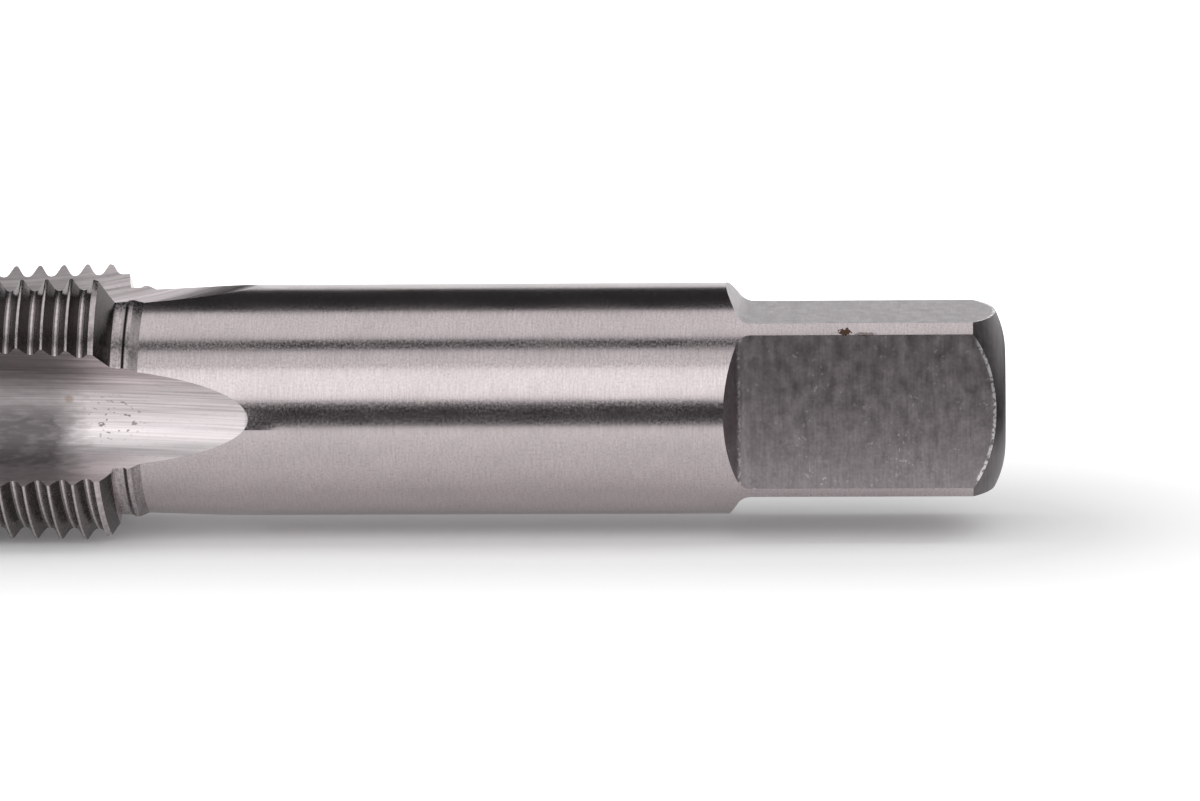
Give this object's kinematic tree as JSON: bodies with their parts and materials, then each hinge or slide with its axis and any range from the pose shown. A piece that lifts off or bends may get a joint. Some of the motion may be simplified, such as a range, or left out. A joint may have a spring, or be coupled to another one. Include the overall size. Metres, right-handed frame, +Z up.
{
  "type": "thread tap",
  "caption": "Straight-fluted hand tap with a ground thread, a lead chamfer, a plain round shank and a square drive end.",
  "frame": {"origin": "on the tap's axis, halfway along its overall length", "axes": "the tap lies along X with the square drive end toward +X and the cutting point toward -X; the flats of the square and the floors of the flutes face the Y and Z directions; +Z is up as it lies"},
  "size_m": [0.108, 0.0172, 0.0172],
  "materials": {
    "ground_steel": "ground high-speed steel, bright, with fine grinding lines"
  },
  "bodies": {
    "root": {"tap": "ground_steel"}
  },
  "joints": []
}
